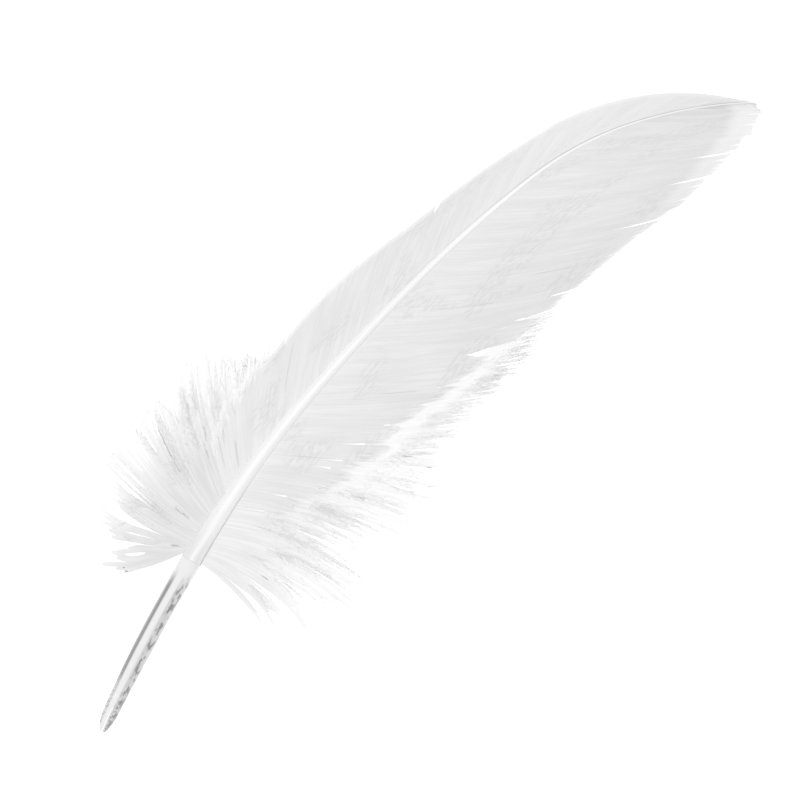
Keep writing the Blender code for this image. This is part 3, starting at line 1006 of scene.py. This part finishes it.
# What a web's look holds: how wide a barb is, how many rows of faces it has, how many barbs a zipped
# group has, how deep the slits between groups are, how far a group draws together and how far it
# spreads again at its tip, how uneven the groups and the barbs are, how the groups tilt and sway,
# how far single barbs come free and how much narrower they get, how much the web waves, how far it
# lies under the vane, its deep clefts, as (place, depth, width), and the painted shade grey of thick
# down.
LEADING_LOOK = {
    "spacing": BARB_SPACING,
    "rows": BARB_ROWS,
    "group": (10, 34),
    "slit": (1.5, 5),
    "pull": (0.0, 0.03),
    "rejoin": 0,
    "trim": 0.12,
    "stagger": 0.1,
    "tilt": 0.06,
    "sway": 0,
    "free": 0.5,
    "narrow": 0.3,
    "swell": 0.22,
    "under": 0,
    "clefts": ((172, 4.5, 1.4),),
}
TRAILING_LOOK = {
    **LEADING_LOOK,
    "group": (8, 24),
    "slit": (2, 9),
    "pull": (0.01, 0.12),
    "trim": 0.5,
    "stagger": 0.3,
    "tilt": 0.07,
    "free": 1.2,
    "narrow": 0.5,
    "clefts": (
        (140.5, 13, 3.2),
        (152.5, 11, 1.8),
        (161, 9, 0.9),
        (191, 17, 0.7),
        (213, 16, 0.9),
        (229, 15, 0.9),
    ),
}
leading_finish = vane_finish(
    "leading_vane",
    (
        (88.5, 12, 0.35, 7),
        (114.9, 16, 0.3, 9),
        (93.5, 6, 0.5, 5),
        (107, 12, 0.25, 6),
        (183, 8, 0.3, 6),
    ),
    whiter_tip=0.45,
    shaft_line=0.9,
    pale_edge=0,
)
trailing_finish = vane_finish(
    "trailing_vane",
    (
        (104.2, 14, 0.3, 9),
        (127.5, 26, 0.25, 7),
        (163.5, 22, 0.25, 12),
        (175, 44, 0.3, 8),
        (128.5, 44, 0.9, 2),
    ),
    whiter_tip=0.12,
    shaft_line=0,
    pale_edge=0.75,
)
make_vane("leading_vane", LEADING_BARBS, 1, LEADING_VANE, LEADING_LOOK, leading_finish, seed=100)
make_vane("trailing_vane", TRAILING_BARBS, -1, TRAILING_VANE, TRAILING_LOOK, trailing_finish, seed=200)


# The down: loose, silky barbs at the feather's base. Their barbules never hook together, so each
# tuft is a soft web that parts into strands, with a few loose plumes over it.

LEADING_DOWN = (62.5, 64.6, 66.8, 70, 74.5, 80, 86)
TRAILING_DOWN = (62.5, 66, 71, 77, 84)
SOFT_SHARE = 0.93  # of its whole length, how far a barb stays in the soft web
STEM_RADIUS = 0.06
STEM_JOINTS = 13
BARBULE_RADIUS = 0.045
BARBULE_SPACING = 0.3
PLUME_LENGTHS = (12, 20, 30, 42)
PLUME_CLEARANCE = 0.08  # above the table
FRINGE_OVERLAP = 7


def plume_template(length):
    """One loose barb: its stem runs along Y, and its barbules stand out to both sides."""
    chance = np.random.default_rng(length)
    shape = bmesh.new()
    lay_down = Matrix.Translation((0, length / 2, 0)) @ Matrix.Rotation(-math.pi / 2, 4, "X")
    bmesh.ops.create_cone(
        shape,
        cap_ends=True,
        segments=4,
        radius1=STEM_RADIUS,
        radius2=STEM_RADIUS / 4,
        depth=length,
        matrix=lay_down,
    )
    stem_edges = [edge for edge in shape.edges if edge.calc_length() > length / 2]
    bmesh.ops.subdivide_edges(shape, edges=stem_edges, cuts=STEM_JOINTS)
    stem = set(shape.verts)
    for number in range(round(length / BARBULE_SPACING)):
        root = (number + chance.uniform(0, 1)) * BARBULE_SPACING
        fullness = math.sin(math.pi * (0.12 + 0.76 * root / length)) ** 0.7
        spread = chance.uniform(1.4, 4.0) * fullness
        turn = math.pi * (number % 2) + chance.normal(0, 0.4)
        lean = Matrix.Rotation(chance.normal(0, 0.4), 4, "Z")
        point_out = lean @ Matrix.Rotation(math.pi / 2 + turn, 4, "Y")
        bmesh.ops.create_cone(
            shape,
            cap_ends=True,
            segments=3,
            radius1=BARBULE_RADIUS,
            radius2=0,
            depth=spread,
            matrix=Matrix.Translation((0, min(root, length - 0.2), 0))
            @ point_out
            @ Matrix.Translation((0, 0, spread / 2)),
        )
    bmesh.ops.remove_doubles(shape, verts=shape.verts, dist=0.0001)
    barbule_edges = [edge for edge in shape.edges if edge.verts[0] not in stem]
    long_edges = [edge for edge in barbule_edges if edge.calc_length() > 8 * BARBULE_RADIUS]
    bmesh.ops.subdivide_edges(shape, edges=long_edges, cuts=1)
    mesh = bpy.data.meshes.new(f"plume_{length}")
    shape.to_mesh(mesh)
    shape.free()
    return mesh


PLUMES = {length: plume_template(length) for length in PLUME_LENGTHS}


def make_plumes(name, node, barbs, side, plumes, finish):
    """A tuft's loose plumes. Each: its root's place, the place its tip aims at, where its reach starts
    and ends, its lift, how far and how its stem sways, and how closely its barbules lie to it."""
    shape = bmesh.new()
    sizes = []
    lengths = []
    for plume in plumes:
        length = min(PLUME_LENGTHS, key=lambda known: abs(known - (plume[3] - plume[2])))
        before = len(shape.verts)
        shape.from_mesh(PLUMES[length])
        sizes.append(len(shape.verts) - before)
        lengths.append(length)
    if side < 0:
        bmesh.ops.reverse_faces(shape, faces=shape.faces)

    def places(unit, mesh):
        which = np.repeat(np.arange(len(plumes)), sizes)
        root, aim, begin, end, lift, sway, phase, closed = np.array(plumes, float).T[:, which]
        template = np.array(lengths, float)[which]
        sideways, up = unit[:, 0], unit[:, 2]
        out = np.hypot(sideways, up)
        share = unit[:, 1] / template
        reach = begin + (end - begin) * share
        place = root + (aim - root) * ease(reach / end / 0.6)
        stem = barb_point(barbs, side, place, reach)
        ahead = one_long(barb_point(barbs, side, place, reach + 0.5) - stem)
        across = one_long(np.cross((0, 0, 1), ahead) * -side)
        bent = sway * np.sin(share * 5 + phase) * np.maximum(share, 0) ** 1.3
        shut = closed * ease((share - 0.25) / 0.35) * (1 - 0.6 * ease((share - 0.75) / 0.25))
        forward = (0.6 + 0.6 * shut) * out + 0.14 * out * out
        aside = bent + sideways * (0.85 - 0.7 * shut)
        points = stem + across * aside[:, None] + ahead * forward[:, None]
        under = -1.0 * (1 - ease((reach - begin - 3) / 8)) * (begin > 0)
        points[:, 2] += up * 0.6 + under + lift * np.sin(math.pi * np.clip(share, 0, 1) ** 0.8)
        points[:, 2] = np.maximum(points[:, 2], PLUME_CLEARANCE)
        return points, (place, reach, out)

    piece = make_piece(name, shape, places, finish, notes="plume")
    fit_piece(piece, node)


# Folds where stray barbs are caught, each marked with painted shadow.
LEADING_FOLD_SHADOWS = (
    (77.3, 24, 0.22, 10),
    (85.4, 20, 0.4, 3),
    (84.6, 15, 0.3, 3),
    (72.5, 7.5, 0.6, 3.5),
    (65, 3, 0.3, 3),
)
TRAILING_FOLD_SHADOWS = (
    (67.5, 19.5, 0.2, 1.5),
    (82, 23.5, 0.2, 1.5),
    (95.2, 34, 0.25, 2),
    (106.5, 41.5, 0.25, 2),
)
# Down greys: painted shade makes the thick down near the shaft greyer, and the thin ends are palest.
THIN_GREYS = (0.94, 0.98)
LOOSE_GREY = 0.92
CAUGHT_SHADOW_GREY = 0.45


def down_finish(name, note, folds, densest_shade):
    """Soft white down, painted with shade: greyer in its thick parts near the shaft and palest at
    the ends, with the painted shadows of caught folds.
    """
    finish, tree, shader = plain_finish(name)
    whole, (place, reach, _) = read_note(tree, note)
    strands = add_streaks(tree, whole, (1.7, 0.06, 0), 3)
    # Painted shade: the thick down near the shaft is greyer, as where it shades itself.
    dense_shade = blend_colour(tree, strands, densest_shade, densest_shade + 0.08)
    thin = blend_colour(tree, strands, *THIN_GREYS)
    outward = ramp(tree, reach, 12, 38)
    soft = blend_colour(tree, outward, dense_shade, thin)
    hairs = add_streaks(tree, whole, (5, 0.4, 0), 3, 0.42, 0.56)
    # Painted shadows of caught folds, broken into hairs.
    caught_shadow = multiply(tree, add_fold_shadows(tree, place, reach, folds), hairs)
    tree.links.new(blend_colour(tree, caught_shadow, soft, CAUGHT_SHADOW_GREY), shader.inputs["Base Color"])
    shader.inputs["Roughness"].default_value = 0.85
    shader.inputs["Sheen Weight"].default_value = 0.2
    return finish


def lock_plumes(chance, start, end, locks, plumes_per_lock, barbs, web_share, sway):
    """The plumes of a tuft, gathered in locks that converge towards their tips."""
    plumes = []
    width = (end - start) / locks
    for lock in range(locks):
        root = start + width * (lock + 0.5)
        aim = root + chance.normal(0, 0.35) * width
        length = chance.uniform(0.72, 1.0)
        lift = chance.uniform(-0.4, 1.4) * (1 - 0.7 * web_share)
        closed = chance.uniform(0, 0.35)
        for _ in range(plumes_per_lock):
            base = root + chance.uniform(-0.6, 0.6) * width
            goal = aim + chance.normal(0, 0.3) * width
            whole = float(smooth(barbs, np.array([goal]), WHOLE)[0])
            web = float(smooth(barbs, np.array([goal]), WEB)[0]) * web_share
            begin = max(web - 4, 0) + chance.uniform(3, 20) * (1 - web_share)
            reach = web + (whole - web) * length * chance.uniform(0.8, 1.0)
            sway_of = chance.normal(0, sway)
            phase = chance.uniform(0, 2 * math.pi)
            lift_of = lift + chance.normal(0, 0.25)
            plumes.append((base, goal, begin, max(reach, begin + 4), lift_of, sway_of, phase, closed))
    return plumes


def down_span(barbs, place):
    whole = smooth(barbs, place, WHOLE)
    return np.full_like(whole, -ROOTED), SOFT_SHARE * whole


def fringe_span(barbs, place):
    web, whole = smooth(barbs, place, WEB), smooth(barbs, place, WHOLE)
    return np.maximum(web - FRINGE_OVERLAP, 0), web + np.maximum(SOFT_SHARE * (whole - web), 1)


def make_down(name, side, splits, web_share, look, plumes_of, seed):
    """The tufts between the splits: a soft web of down in each, and loose barbs over it.

    web_share is 0 on the bare rachis and 1 past the vane's edge. plumes_of gives how many locks
    there are to a millimetre, how many loose barbs to a lock, and how far these sway."""
    barbs, folds = (LEADING_BARBS, LEADING_FOLD_SHADOWS) if side > 0 else (TRAILING_BARBS, TRAILING_FOLD_SHADOWS)
    locks_per_mm, plumes_per_lock, sway = plumes_of
    loose_down = down_finish(f"{name}_loose", "plume", folds, LOOSE_GREY)
    soft_down = down_finish(f"{name}_soft", "barb", folds, look["grey"])
    span = fringe_span if web_share else down_span
    for number, (start, end) in enumerate(zip(splits, splits[1:]), 1):
        node = f"{name}_{number}"
        chance = np.random.default_rng(seed + number)
        locks = max(2, round((end - start) * locks_per_mm))
        plumes = lock_plumes(chance, start, end, locks, plumes_per_lock, barbs, web_share, sway)
        make_plumes(f"{node}_plumes", node, barbs, side, plumes, loose_down)
        web_name, web_seed = f"{node}_web", seed + 50 + number
        make_web(web_name, node, barbs, side, (start, end), span, look, soft_down, web_seed)


DOWN_LOOK = {
    **LEADING_LOOK,
    "spacing": 0.25,
    "rows": 24,
    "group": (2, 8),
    "slit": (8, 20),
    "pull": (0.45, 0.9),
    "rejoin": 0.9,
    "trim": 2.2,
    "stagger": 2.2,
    "tilt": 0.1,
    "sway": 0.2,
    "free": 3,
    "narrow": 0.35,
    "swell": 0.2,
    "clefts": (),
    "grey": 0.8,
}
# The leading down is painted with a deeper shade near the shaft.
GREYER_LOOK = {**DOWN_LOOK, "grey": 0.71}
make_down("leading_down", 1, LEADING_DOWN, 0, GREYER_LOOK, (1.1, 2, 1.8), seed=300)
make_down("trailing_down", -1, TRAILING_DOWN, 0, DOWN_LOOK, (0.7, 2, 2.2), seed=430)


# The fringe: past the web's edge near the base, the barbs lose their hooks and end in loose down,
# which is made as the tufts are.

LEADING_FRINGE = (86, 94, 104)
TRAILING_FRINGE = (84, 92, 102, 113, 125, 138, 153)
FRINGE_LOOK = {
    **DOWN_LOOK,
    "spacing": 0.4,
    "rows": 18,
    "group": (2, 6),
    "slit": (6, 16),
    "trim": 1.6,
    "narrow": 0.5,
    "under": 0.35,
}
make_down("leading_fringe", 1, LEADING_FRINGE, 1, FRINGE_LOOK, (0.8, 2, 1.2), seed=500)
make_down("trailing_fringe", -1, TRAILING_FRINGE, 1, FRINGE_LOOK, (0.6, 2, 1.2), seed=630)


# The finished pen: the plumes' patterns are cleared away.

for known_plume in PLUMES.values():
    bpy.data.meshes.remove(known_plume)
